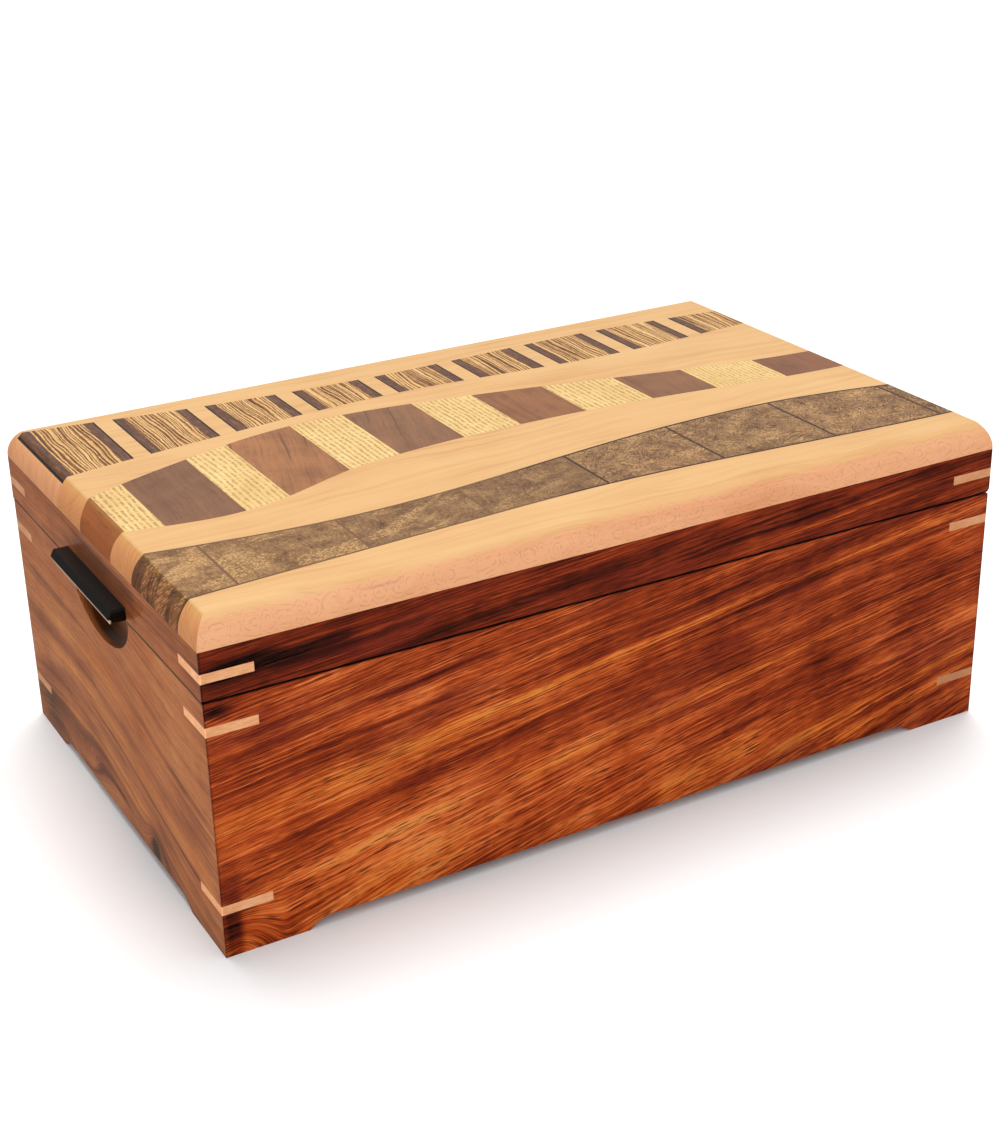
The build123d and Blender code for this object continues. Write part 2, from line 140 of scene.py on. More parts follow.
class Paint(Mixer):
    """A material under way. x, y and z are the surface point in mm from the box's middle."""

    def __init__(self, name):
        self.material = bpy.data.materials.new(name)
        self.material.use_nodes = True
        super().__init__(self.material.node_tree)
        self.shader = self.tree.nodes["Principled BSDF"]
        place = self.tree.nodes.new("ShaderNodeTexCoord")
        split = self.tree.nodes.new("ShaderNodeSeparateXYZ")
        self.tree.links.new(place.outputs["Object"], split.inputs[0])
        metres = [Field(self.tree, socket) for socket in split.outputs]
        self.x = metres[0].math("MULTIPLY_ADD", 1 / MM, -MIDDLE_X)
        self.y = metres[1] / MM
        self.z = metres[2] / MM

    def point(self, x, y, z):
        node = self.tree.nodes.new("ShaderNodeCombineXYZ")
        for value, socket in zip((x, y, z), node.inputs):
            feed(self.tree, value, socket)
        return Field(self.tree, node.outputs[0])

    def noise(self, x, y, z=0.0, detail=2.0, rough=0.5, distort=0.0):
        """Soft noise, 0 to 1 and about 0.5, that changes over one unit of x, y and z."""
        node = self.tree.nodes.new("ShaderNodeTexNoise")
        feed(self.tree, self.point(x, y, z), node.inputs["Vector"])
        node.inputs["Scale"].default_value = 1.0
        node.inputs["Detail"].default_value = detail
        node.inputs["Roughness"].default_value = rough
        node.inputs["Distortion"].default_value = distort
        return Field(self.tree, node.outputs["Fac"])

    def cells(self, x, y, z=0.0, output="Distance", randomness=1.0):
        """Distance to the nearest of a scatter of points, about one to each unit cube."""
        node = self.tree.nodes.new("ShaderNodeTexVoronoi")
        node.inputs["Randomness"].default_value = randomness
        feed(self.tree, self.point(x, y, z), node.inputs["Vector"])
        node.inputs["Scale"].default_value = 1.0
        return Field(self.tree, node.outputs[output])

    def dashes(self, along, across, seed, length, spacing, share):
        """Short dark marks down the grain: 1 in a mark, 0 between. share is how many show."""
        where = (along / length, across / spacing, seed)
        distance = self.cells(*where, randomness=0.9)
        chance = self.cells(*where, randomness=0.9, output="Color").math("ADD", 0.0)
        return distance.rise(0.34, 0.16) * chance.rise(1.0 - share - 0.03, 1.0 - share + 0.03)

    def ramp(self, amount, stops):
        """Colours along a 0 to 1 scale, each stop a place and a screen colour."""
        node = self.tree.nodes.new("ShaderNodeValToRGB")
        feed(self.tree, amount, node.inputs["Fac"])
        elements = node.color_ramp.elements
        while len(elements) < len(stops):
            elements.new(0.5)
        for element, (place, colour) in zip(elements, stops):
            element.position = place
            element.color = linear(*colour)
        return Field(self.tree, node.outputs["Color"])

    def shade(self, colour, amount):
        """Darkens a colour where amount is over 0, and lightens it where it is under 0."""
        node = self.tree.nodes.new("ShaderNodeVectorMath")
        node.operation = "SCALE"
        feed(self.tree, colour, node.inputs[0])
        feed(self.tree, 1.0 - amount, node.inputs["Scale"])
        return Field(self.tree, node.outputs[0])

    def finish(self, colour, roughness, height=None, depth=0.05, **sockets):
        """Ends the material: height, 0 to 1, is depth mm of relief."""
        feed(self.tree, colour, self.shader.inputs["Base Color"])
        feed(self.tree, roughness, self.shader.inputs["Roughness"])
        if height is not None:
            bump = self.tree.nodes.new("ShaderNodeBump")
            bump.inputs["Strength"].default_value = 1.0
            bump.inputs["Distance"].default_value = depth * MM
            feed(self.tree, height, bump.inputs["Height"])
            self.tree.links.new(bump.outputs["Normal"], self.shader.inputs["Normal"])
        for name, value in sockets.items():
            self.shader.inputs[name.replace("_", " ")].default_value = value
        return self.material


LACQUER = {
    "Coat_Weight": 0.45, "Coat_Roughness": 0.12, "Coat_IOR": 1.45, "Specular_IOR_Level": 0.1,
}
WALL_LACQUER = {
    "Coat_Weight": 1.0, "Coat_Roughness": 0.07, "Coat_IOR": 1.5, "Specular_IOR_Level": 0.1,
}


# ---------------------------------------------------------------- wall wood
# Dark stripes and golden ones follow grain lines. across counts mm across the lines, along
# counts mm down them. A streak is (across, from, to, half width, strength), and a patch is
# (along, height, half length, half height, strength). A strength below 0 is dark.

FIRE = [
    (0.00, (16, 5, 2)), (0.13, (50, 14, 3)), (0.27, (90, 25, 3)), (0.42, (128, 40, 5)),
    (0.56, (152, 58, 10)), (0.70, (186, 79, 25)), (0.85, (212, 107, 46)), (1.00, (226, 136, 72)),
]
BROWN = [
    (0.00, (48, 24, 14)), (0.15, (98, 50, 28)), (0.32, (147, 79, 42)), (0.50, (190, 107, 56)),
    (0.66, (206, 130, 74)), (0.82, (226, 152, 86)), (1.00, (240, 176, 108)),
]

FRONT_STREAKS = [
    (68.0, -160, -50, 4.0, 0.20), (68.0, -65, 140, 1.4, 0.24), (42.5, -50, 140, 1.3, 0.23),
    (15.4, 52, 162, 1.8, 0.26), (9.6, 78, 162, 1.6, 0.22), (56.0, -120, 135, 3.6, -0.11),
    (87.0, -100, -55, 0.9, -0.45), (79.0, -105, -60, 0.8, -0.34), (50.5, -40, 60, 2.2, -0.12),
    (33.0, -138, -98, 1.0, -0.46), (24.0, -92, -44, 0.9, -0.46), (18.0, -52, 2, 1.0, -0.48),
    (26.0, 30, 62, 0.7, -0.40), (34.0, 66, 84, 0.8, -0.40), (29.0, 84, 97, 0.7, -0.42),
    (30.5, 98, 127, 0.8, -0.36), (20.5, 6, 17, 0.7, -0.38), (12.0, 0, 65, 3.0, -0.16),
    (62.0, -120, 5, 5.0, 0.12), (34.0, -130, -55, 6.0, 0.12), (21.0, 0, 60, 3.0, 0.20),
    (74.0, 20, 150, 2.0, -0.10), (12.6, 85, 158, 0.8, -0.30), (45.0, -130, -60, 1.2, 0.14),
    (7.0, 60, 150, 1.0, -0.24), (91.0, -148, -90, 1.2, 0.12),
]
FRONT_PATCHES = [
    (-147.6, 9.0, 1.9, 12.0, -0.44), (-144.9, 9.0, 1.7, 12.0, -0.40),
    (-146.5, 85.0, 6.5, 2.2, -0.60), (-137.0, 67.0, 13.0, 4.0, -0.12),
    (-134.0, 9.0, 8.0, 7.0, 0.16), (-100.0, 6.0, 20.0, 5.0, 0.05), (-60.0, 4.0, 14.0, 4.0, -0.10),
    (95.0, 24.0, 22.0, 5.0, -0.10), (-92.0, 22.0, 52.0, 20.0, 0.26),
    (138.0, 4.0, 12.0, 4.0, -0.14), (-80.0, 70.0, 45.0, 8.0, 0.06),
    (20.0, 50.0, 45.0, 7.0, -0.08), (10.0, 16.0, 50.0, 15.0, 0.17),
    (90.0, 78.0, 60.0, 12.0, -0.14), (0.0, 76.0, 45.0, 9.0, -0.10),
]
LID_STREAKS = [
    (107.0, -155, -96, 2.0, -0.50), (111.0, -155, -120, 1.4, -0.40),
    (105.0, -130, -68, 0.8, -0.42), (95.5, -60, -46, 0.8, -0.42), (92.3, 10, 105, 0.7, -0.32),
    (93.5, 80, 134, 0.7, -0.30), (96.0, 30, 90, 0.6, -0.26), (85.5, 120, 140, 1.4, -0.34),
    (88.5, 55, 130, 0.9, 0.24), (100.5, -40, 40, 1.8, -0.14), (98.0, -90, 20, 1.2, -0.16),
]
END_STREAKS = [
    (37.0, -96, 30, 0.8, -0.42), (41.5, -96, 75, 2.6, 0.20), (33.0, -20, 40, 0.8, -0.28),
    (26.5, -96, 20, 1.6, 0.18), (16.0, -15, 50, 0.9, -0.55), (62.0, -95, -20, 1.0, -0.24),
    (55.0, -30, 85, 2.0, 0.14), (48.0, 10, 95, 2.4, -0.18), (30.0, 40, 95, 2.6, -0.22),
    (20.0, 0, 90, 2.0, -0.20), (66.0, 20, 90, 1.2, -0.16), (22.5, -30, 60, 1.2, 0.20),
]
END_PATCHES = [
    (74.0, 10.0, 22.0, 9.0, -0.28), (-33.0, 7.0, 3.4, 4.0, -0.70), (30.0, 8.0, 20.0, 4.5, 0.24),
    # The patch at height 0 along the whole end is painted shade along the foot of the wall.
    (-42.0, 12.0, 11.0, 10.0, -0.16), (0.0, 0.0, 200.0, 24.0, -0.12),
    (70.0, 55.0, 30.0, 20.0, -0.08),
]


STREAK_TAPER = 14.0
# How many mm across the grain count for each mm in from the outer face, on rims and edges.
RIM_SPREAD = 1.3


def front_grain(paint):
    """Grain that rises to the right, steeper near the floor."""
    slope, extra, reach = 0.13, 0.20, 20.0
    steep = (paint.z / reach).math("EXPONENT") + extra / slope
    across = steep.math("LOGARITHM", 2.718282) * reach - paint.x * slope
    swirl = paint.x.rise(-128, -146) * paint.z.rise(22, 0)
    return across - swirl * 9.0, paint.x


def lid_grain(paint):
    return paint.z - paint.x * 0.085, paint.x


def end_grain(paint):
    """Nearly level grain that falls towards the front, most near the floor."""
    fall = paint.y.rise(35, -100) * (24.0 - paint.z * 0.16)
    back = paint.y.rise(45, 105) * paint.z.rise(60, 0) * 9.0
    knot = paint.y.bell(-33, 7) * paint.z.bell(8, 8)
    eye = paint.y.bell(36, 22) * paint.z.bell(6, 9)
    return paint.z + fall + back - knot * 8.0 + eye * 11.0, paint.y


def end_lid_grain(paint):
    return paint.z + paint.y * 0.02, paint.y


def streak_tones(paint, along, across, streaks):
    """How much the dark streaks darken a point, and how much the light ones lighten it."""
    dark = light = paint.x * 0.0
    for centre, start, end, half_width, strength in streaks:
        taper = along.rise(start, start + STREAK_TAPER) * along.rise(end, end - STREAK_TAPER)
        streak = across.bell(centre, half_width) * taper * abs(strength)
        if strength < 0:
            dark = dark + streak
        else:
            light = light + streak
    return dark, light


def open_pores(paint, along, across, deep, dark):
    """Short marks, most of them in drifts and in dark streaks, and long hairlines."""
    drift = paint.noise(along / 40, across / 7, deep + 37.0, 2)
    wanted = (drift.rise(0.22, 0.50) + dark * 4.0).math("MINIMUM", 1.0)
    pits = paint.dashes(along, across, deep * 3.0, 13.0, 0.62, 0.80) * wanted
    ticks = paint.dashes(along + 50, across, deep * 3.0, 6.0, 0.52, 0.75)
    hairs = paint.noise(along / 70, across / 0.50, deep + 43.0, 1).rise(0.58, 0.70)
    hairs = hairs * paint.noise(along / 50, across / 10, deep + 47.0, 1).rise(0.35, 0.62)
    return (pits + ticks * 0.6).math("MINIMUM", 1.0), hairs


def koa(name, grain, palette, streaks=(), patches=(), seed=0.0, base=0.50, contrast=1.0,
        pores=1.0):
    """Lacquered wall wood: layers of noise drawn out along the grain, about the tone base."""
    paint = Paint(name)
    across, along = grain(paint)
    faces_front = grain in (front_grain, lid_grain)
    inward, half = (paint.y, HALF_WIDTH) if faces_front else (paint.x, HALF_LENGTH)
    deep = inward / 9.0 + seed
    across = across + (inward.math("ABSOLUTE") - half) * RIM_SPREAD
    across = across + (paint.noise(along / 60, across / 13, deep, 2) - 0.5) * 3.4

    broad = paint.noise(along / 190, across / 11, deep + 3.1, 2)
    middle = paint.noise(along / 120, across / 2.4, deep + 7.7, 3, 0.6)
    fine = paint.noise(along / 75, across / 0.55, deep + 11.3, 3, 0.65)
    fibre = paint.noise(along / 8, across / 0.22, deep + 13.9, 2, 0.6)
    shimmer = paint.noise(along / 22, across / 18, deep + 17.0, 3, 0.6)
    tone = (broad - 0.5) * 0.50 + (middle - 0.5) * 0.50 + (fine - 0.5) * 0.95
    tone = tone + (shimmer - 0.5) * 0.45 + (fibre - 0.5) * 0.55
    tone = tone * contrast + base
    ragged = (fine - 0.5) * 2.2 + (middle - 0.5) * 1.6
    dark, light = streak_tones(paint, along, across + ragged, streaks)
    tone = tone + light - dark * (fine.rise(0.34, 0.60) * 0.95 + 0.16)
    for centre, height, half_length, half_height, strength in patches:
        patch = along.bell(centre, half_length) * paint.z.bell(height, half_height)
        tone = tone + patch * strength

    colour = paint.ramp(tone, palette)
    warmth = paint.noise(along / 60, across / 17, deep + 23.0, 2)
    colour = paint.mix(colour, (112, 34, 22), warmth.rise(0.54, 0.72) * 0.40)
    colour = paint.mix(colour, (255, 226, 128), warmth.rise(0.46, 0.26) * 0.50, "MULTIPLY")
    gold = (240, 243, 134) if faces_front else (255, 230, 138)
    colour = paint.mix(colour, gold, (light * 2.6).math("MINIMUM", 1.0), "MULTIPLY")

    marks, hairs = open_pores(paint, along, across, deep, dark)
    stained = (marks * 0.80 + hairs * 0.40).math("MINIMUM", 0.9) * pores
    colour = paint.mix(colour, (58, 15, 3), stained)
    colour = paint.shade(colour, edge_shadow(paint, faces_front))
    ripple = paint.noise(paint.x / 22, paint.y / 22, paint.z / 22, 2)
    height = ripple * 0.5 + fine * 0.10 - marks * 0.15
    return paint.finish(colour, shimmer * 0.16 + 0.30, height, 0.04, **WALL_LACQUER)


def edge_shadow(paint, faces_front):
    """Painted shade along the sawn seam, where the gap between lid and base lies in shade, and
    inside the finger scoop. Down the corners the darkening is partly a dark glue line and partly
    painted shade.
    """
    if faces_front:
        inward, inward_half, sideways, sideways_half = paint.y, HALF_WIDTH, paint.x, HALF_LENGTH
    else:
        inward, inward_half, sideways, sideways_half = paint.x, HALF_LENGTH, paint.y, HALF_WIDTH
    outside = inward.math("ABSOLUTE").rise(inward_half - 0.9, inward_half - 0.5)
    corner = sideways.math("ABSOLUTE").rise(sideways_half - 0.7, sideways_half - 0.2)
    # Painted shade along the seam; at the corners partly a dark glue line and partly painted
    # shade.
    shadow = paint.z.bell(SEAM, 0.50) * outside * 1.35 + corner * 0.45
    if not faces_front:
        shadow = shadow + scoop_shadow(paint)
    return shadow.math("MINIMUM", 0.97)


def scoop_shadow(paint):
    """Painted shade inside the finger scoop, and fainter painted shade on the rail's outer face
    about the lift bar.
    """
    face = -HALF_LENGTH
    # Painted shade inside the finger scoop.
    hollow = paint.x.rise(face + 0.3, face + 2.5) * paint.x.rise(face + 7, face + 6)
    # Painted shade on the rail's outer face about the lift bar, where the bar darkens it.
    bar_shade = paint.z.rise(HANDLE_FOOT, HANDLE_FOOT + 3) * paint.z.rise(105, 101)
    bar_shade = bar_shade * paint.x.rise(face + 1.0, face + 0.4)
    bar_shade = bar_shade * paint.y.rise(-42, -34) * paint.y.rise(26, 14)
    return hollow * paint.y.bell(4, 26) * 0.86 + bar_shade * 0.42


# ---------------------------------------------------------------- panel woods

MAPLE = (219, 173, 117)


def end_face(paint):
    """1 on the left and right rounded ends, as far as the mitre line at each corner."""
    to_end = paint.x.math("ABSOLUTE") - HALF_LENGTH
    to_side = paint.y.math("ABSOLUTE") - HALF_WIDTH
    return (to_end - to_side).rise(-0.15, 0.15) * paint.z.rise(TOP - 0.15, TOP - 0.7)


def rounded(paint, colour, end_tint=(240, 224, 192)):
    """Where the panel's edge turns down it is pinker and deeper, partly for the other faces of the
    grain that show there and partly as painted light on the rounded edge.
    """
    turned = paint.z.rise(TOP, TOP - 3.5)
    # Partly painted light: the turned-down edge is tinted pinker.
    colour = paint.mix(colour, (255, 233, 249), turned, "MULTIPLY")
    return paint.mix(colour, end_tint, end_face(paint), "MULTIPLY")


def three_tones(tint, low, high):
    """A ramp's colours: tint in the middle, scaled down before it and up after it."""
    def scaled(by):
        return tuple(min(255, int(part * scale)) for part, scale in zip(tint, by))
    return scaled(low), tint, scaled(high)


def maple(name, seed, lean=0.0, end_tint=(240, 224, 192)):
    """Pale maple: faint growth lines along X, a lacy figure where it turns down, ring lines on
    its ends, and a few grey mineral streaks."""
    paint = Paint(name)
    sway = (paint.noise(paint.x / 60, paint.y / 22, seed, 3) - 0.5) * 16
    across = paint.y + paint.x * lean + sway
    lines = paint.noise(paint.x / 160, across / 3.2, seed + 5, 3, 0.6)
    fine = paint.noise(paint.x / 34, (across + paint.z) / 0.55, seed + 9, 2, 0.6)
    cloud = paint.noise(paint.x / 45, paint.y / 20, paint.z / 30 + seed, 2)
    turned = paint.z.rise(TOP - 0.4, TOP - 4.0)
    end = end_face(paint)
    beat = paint.x / 5.2 + (paint.noise(paint.x / 9, 0.0, seed + 21, 1) - 0.5) * 2.6
    aside = (beat.math("FRACT") - 0.5) * 5.2
    drop = paint.z + (paint.noise(paint.x / 14, 0.0, seed + 25, 1) - 0.5) * 6.0 + 5.5 - TOP
    circle = (aside * aside + drop * drop * 0.8).math("SQRT") + (cloud - 0.5) * 2.0
    lace = (circle / 1.25).math("PINGPONG", 0.5).rise(0.26, 0.06) * (turned * 0.9 + 0.04)
    lace = lace * paint.noise(paint.x / 2.4, paint.y / 2.4, paint.z / 1.2, 2).rise(0.42, 0.60)
    arch = paint.y + (paint.z - TOP) * (paint.z - TOP) / 7.0 * (1.0 if lean <= 0 else -1.0)
    rings = paint.noise(0.0, arch + (cloud - 0.5) * 8.0, seed + 17, 1).rise(0.56, 0.66) * end
    mineral = paint.noise(paint.x / 34, across / 1.7, seed + 13, 2).rise(0.62, 0.74)
    mineral = mineral * paint.noise(paint.x / 50, paint.y / 16, seed + 15, 1).rise(0.50, 0.66)
    tone = lines * 0.45 + fine * 0.25 + cloud * 0.30
    deeper, middle, lighter = three_tones(MAPLE, (0.93, 0.86, 0.82), (1.03, 1.06, 1.10))
    colour = paint.ramp(tone, [(0.30, deeper), (0.50, middle), (0.70, lighter)])
    # The last term is painted light: it lightens the turned-down edge, though not on the ends.
    figure = lace * (1.0 - end) * 0.17 + rings * 0.18 - turned * (1.0 - end) * 0.07
    colour = paint.shade(colour, figure)
    colour = paint.mix(colour, (156, 116, 88), mineral * 0.50)
    colour = rounded(paint, colour, end_tint)
    height = fine * 0.3 + lace * 0.2
    return paint.finish(colour, cloud * 0.15 + 0.30, height, 0.02, **LACQUER)


def zebrano(name, seed, spacing):
    """Straw wood with dark ragged lines along Y, about spacing mm apart."""
    paint = Paint(name)
    wave = (paint.noise(paint.x / 9 + seed, paint.y / 22, paint.z / 22, 1) - 0.5) * 3.2
    ragged = (paint.noise(paint.x / 0.8, paint.y / 1.3, paint.z / 1.3 + seed, 2, 0.6) - 0.5) * 0.55
    across = paint.x + wave + ragged
    spread = (paint.noise(across / 2.6, paint.y / 80, seed * 2.3, 1) - 0.5) * 3.4
    lines = (across / spacing + spread).math("PINGPONG", 0.5) * 2.0
    bands = paint.noise(across / 2.2, paint.y / 90, seed * 5.1, 2)
    fibre = paint.noise(across / 0.25, (paint.y - paint.z) / 4, seed, 2, 0.6)
    dashes = paint.dashes(paint.y - paint.z, across, seed, 4.0, 0.6, 0.6)
    tone = (lines - 0.5) * 0.90 + (bands - 0.5) * 1.0 + (fibre - 0.5) * 0.9 + 0.49
    colour = paint.ramp(tone, [
        (0.05, (92, 56, 28)), (0.25, (124, 80, 42)), (0.42, (160, 112, 64)),
        (0.62, (206, 158, 98)), (0.90, (230, 186, 124)),
    ])
    colour = paint.shade(colour, dashes * 0.34)
    colour = rounded(paint, colour)
    height = lines * 0.5 - dashes * 0.4
    return paint.finish(colour, lines * 0.12 + 0.30, height, 0.02, **LACQUER)


def brown_band(name):
    paint = Paint(name)
    lines = paint.noise(paint.x / 0.6, paint.y / 16, paint.z / 16, 3, 0.65)
    cloud = paint.noise(paint.x / 1.5, paint.y / 3, paint.z / 3, 3, 0.6)
    tone = lines * 0.55 + cloud * 0.45
    colour = paint.ramp(tone, [
        (0.30, (72, 44, 32)), (0.52, (104, 70, 52)), (0.72, (142, 102, 72)),
    ])
    return paint.finish(rounded(paint, colour), cloud * 0.12 + 0.30, lines, 0.02, **LACQUER)


def walnut(name, seed, lean, contrast, tint):
    """Walnut with grain along Y that leans by lean, and dark streaks as strong as contrast."""
    paint = Paint(name)
    across = paint.x - paint.y * lean
    across = across + (paint.noise(paint.x / 24 + seed, paint.y / 34, paint.z / 40, 2) - 0.5) * 5
    broad = paint.noise(across / 7.5, paint.y / 70, seed + 2, 2)
    fine = paint.noise(across / 0.9, paint.y / 28, seed + 4, 3, 0.6)
    cloud = paint.noise(paint.x / 12, paint.y / 14, paint.z / 14 + seed, 3, 0.6)
    dark = paint.noise(across / 1.5, paint.y / 90, seed + 6, 1).rise(0.66, 0.74) * contrast
    pores = paint.dashes(paint.y - paint.z, across, seed, 5.0, 0.6, 0.5)
    tone = broad * 0.35 + fine * 0.3 + cloud * 0.35
    deeper, middle, lighter = three_tones(tint, (0.80, 0.76, 0.76), (1.14, 1.12, 1.08))
    colour = paint.ramp(tone, [(0.32, deeper), (0.50, middle), (0.68, lighter)])
    colour = paint.mix(colour, (78, 46, 34), dark * 0.6)
    colour = paint.shade(colour, pores * 0.22)
    colour = rounded(paint, colour)
    return paint.finish(colour, cloud * 0.14 + 0.28, fine * 0.6 - pores * 0.4, 0.02, **LACQUER)


def ash(name, seed, pitch, strength):
    """Pale ash cut so that each year's row of open pores runs along Y as short dashes."""
    paint = Paint(name)
    sway = (paint.noise(paint.x / 12 + seed, paint.y / 18, paint.z / 18, 2) - 0.5) * 2.4
    zigzag = (paint.noise(paint.x / 2.5, paint.y / 1.6, paint.z / 1.6 + seed, 2) - 0.5) * 1.0
    across = paint.x + sway + zigzag
    years = across / pitch
    row = years.math("FRACT")
    number = years.math("FLOOR")
    in_row = row.rise(0.08, 0.30) * row.rise(0.74, 0.50)
    dash = paint.noise((paint.y - paint.z) / 1.4, number * 3.7, seed, 2, 0.6)
    dash = (dash.rise(0.38, 0.58) * 0.75 + 0.25) * in_row
    grain = paint.noise(paint.x / 0.3, paint.y / 6, paint.z / 6 + seed, 2, 0.6)
    cloud = paint.noise(paint.x / 14, paint.y / 20, paint.z / 20 + seed, 2)
    tone = grain * 0.5 + cloud * 0.5
    colour = paint.ramp(tone, [
        (0.30, (216, 178, 112)), (0.52, (232, 194, 128)), (0.72, (243, 216, 150)),
    ])
    colour = paint.mix(colour, (156, 118, 68), dash * strength)
    colour = rounded(paint, colour)
    height = grain * 0.3 - dash * 0.7
    return paint.finish(colour, cloud * 0.14 + 0.28, height, 0.03, **LACQUER)


BURL = [
    (0.15, (84, 54, 32)), (0.40, (126, 90, 58)), (0.60, (154, 115, 76)), (0.85, (192, 150, 100)),
]


def burl(name, seed, speckle, swirl, gold, bright):
    """Grey-brown burl: golden specks in drifts, and fine figure turned about by swirl. The
    drifts are fewer as gold goes up."""
    paint = Paint(name)
    turn_x = paint.noise(paint.x / 15, paint.y / 12, paint.z / 14 + seed, 2) - 0.5
    turn_y = paint.noise(paint.x / 12, paint.y / 15, paint.z / 14 + seed + 4, 2) - 0.5
    x = paint.x + turn_x * 30 * swirl
    y = paint.y + paint.z * 0.8 + turn_y * 30 * swirl
    figure = paint.noise(x / 0.6, y / 2.2, seed, 2, 0.6, 0.5)
    curls = paint.noise(x / 1.3, y / 1.3, seed + 3, 2, 0.6, 2.0)
    whorls = paint.noise(paint.x / 13, paint.y / 9, seed + 8, 2, 0.45, 0.8) * 26
    whorls = whorls.math("PINGPONG", 0.5)
    drift_x = (paint.x * 0.8 + paint.y * 0.5) / 24
    drift_y = (paint.y * 1.2 - paint.x * 0.45) / 11
    drift = paint.noise(drift_x, drift_y, seed + 5, 3, 0.6, 0.6)
    net_x = paint.x / 0.9 + (curls - 0.5) * 2.0
    specks = paint.cells(net_x, (paint.y + paint.z) / 0.9, seed).rise(0.58, 0.26)
    specks = (specks * 0.85 + 0.15) * drift.rise(gold, gold + 0.10) * speckle
    cloud = paint.noise(paint.x / 9, paint.y / 8, paint.z / 8 + seed, 3, 0.6)
    tone = (figure - 0.5) * (0.5 + 0.7 * swirl) + (curls - 0.5) * 0.6 + (cloud - 0.5) * 0.9
    tone = tone + (whorls * 2.0 - 0.5) * 0.42 * swirl + 0.5
    stops = [(place, tuple(int(part * bright) for part in stop)) for place, stop in BURL]
    colour = paint.ramp(tone, stops)
    # Painted shade: the rounded edge is darkened, under the golden specks.
    colour = paint.shade(colour, paint.z.rise(TOP - 0.15, TOP - 0.7) * 0.50)
    colour = paint.mix(colour, (208, 164, 106), specks * 0.85)
    colour = rounded(paint, colour)
    height = figure * 0.5 + specks * 0.5
    return paint.finish(colour, cloud * 0.14 + 0.28, height, 0.03, **LACQUER)


def dark_veneer(name):
    """Black beside the zebrano, brown between the burl blocks and faintest towards the left."""
    paint = Paint(name)
    grain = paint.noise(paint.x / 1.5, paint.y / 1.5, paint.z / 1.5, 3, 0.7)
    colour = paint.ramp(grain, [(0.3, (58, 36, 26)), (0.7, (80, 54, 40))])
    faint = paint.x.rise(-8, -22) * paint.y.rise(-37, -40) * paint.y.rise(-79, -74)
    colour = paint.mix(colour, (124, 90, 60), faint * 0.88)
    black = paint.ramp(grain, [(0.3, (22, 17, 17)), (0.7, (42, 33, 31))])
    colour = paint.mix(colour, black, paint.y.rise(0, 10))
    colour = rounded(paint, colour)
    return paint.finish(colour, grain * 0.15 + 0.25, grain, 0.01, **LACQUER)


# ---------------------------------------------------------------- keys, handle, floor, metal

def key_wood(name):
    paint = Paint(name)
    grain = paint.noise(paint.x / 3.2, paint.y / 3.2, paint.z / 0.45, 3, 0.6)
    cloud = paint.noise(paint.x / 10, paint.y / 10, paint.z / 10, 2)
    flecks = paint.noise((paint.x + paint.y) / 1.2, paint.z / 0.25, 4.0, 1).rise(0.62, 0.75)
    colour = paint.ramp(grain * 0.6 + cloud * 0.4, [
        (0.30, (206, 138, 90)), (0.50, (224, 160, 112)), (0.70, (238, 182, 136)),
    ])
    colour = paint.shade(colour, flecks * 0.18)
    # Painted light: the keys on the left end are lightened, most towards the front.
    on_left = paint.x.rise(0.4 - HALF_LENGTH, 0.2 - HALF_LENGTH)
    colour = paint.shade(colour, on_left * (paint.y.rise(70, -70) * 0.45 + 0.05) * -1.0)
    # Painted shade: the keys on the front are darker and redder towards the lower right.
    on_front = paint.y.rise(0.4 - HALF_WIDTH, 0.2 - HALF_WIDTH)
    darker = on_front * paint.x.rise(60, 140) * (paint.z.rise(60, 20) * 0.26 + 0.24)
    colour = paint.mix(colour, (132, 66, 36), darker)
    return paint.finish(colour, cloud * 0.15 + 0.32, grain - flecks * 0.5, 0.02, **WALL_LACQUER)


def ebony(name):
    paint = Paint(name)
    grain = paint.noise(paint.x / 0.6, paint.y / 18, paint.z / 0.6, 3, 0.65)
    pores = paint.noise(paint.x / 0.25, paint.y / 2.8, paint.z / 0.25, 1).rise(0.62, 0.72)
    colour = paint.ramp(grain, [(0.3, (6, 5, 4)), (0.55, (11, 9, 8)), (0.75, (22, 17, 14))])
    colour = paint.shade(colour, pores * 0.4)
    height = grain * 0.4 - pores * 0.5
    # Painted highlight: a pale line along the lift bar's lower outer edge.
    edge = 0.9 - (HALF_LENGTH + HANDLE_REACH)
    painted_edge_highlight = paint.z.rise(HANDLE_FOOT + 1.7, HANDLE_FOOT + 1.2) * paint.x.rise(edge + 0.5, edge)
    colour = paint.mix(colour, (196, 178, 158), painted_edge_highlight * 0.9)
    return paint.finish(colour, grain * 0.2 + 0.28, height, 0.02,
                        Coat_Weight=0.12, Coat_Roughness=0.2, Specular_IOR_Level=0.12)


def board(name, seed):
    """Satin sapele-brown board with cathedral grain along X."""
    paint = Paint(name)
    arch = (paint.x / 95) * (paint.x / 95) * 9.0
    across = paint.y + arch + (paint.noise(paint.x / 90, paint.y / 30, seed, 1) - 0.5) * 12
    rings = paint.noise(paint.x / 220, across / 3.4, seed + 2, 3, 0.6)
    fine = paint.noise(paint.x / 16, across / 0.5, seed + 4, 2, 0.6)
    pores = paint.noise(paint.x / 3.5, across / 0.3, seed + 6, 1).rise(0.62, 0.74)
    colour = paint.ramp(rings * 0.65 + fine * 0.35, [
        (0.30, (150, 98, 60)), (0.50, (186, 132, 86)), (0.70, (208, 158, 108)),
    ])
    colour = paint.shade(colour, pores * 0.28)
    return paint.finish(colour, fine * 0.2 + 0.42, fine * 0.5 - pores * 0.5, 0.04,
                        Specular_IOR_Level=0.35)


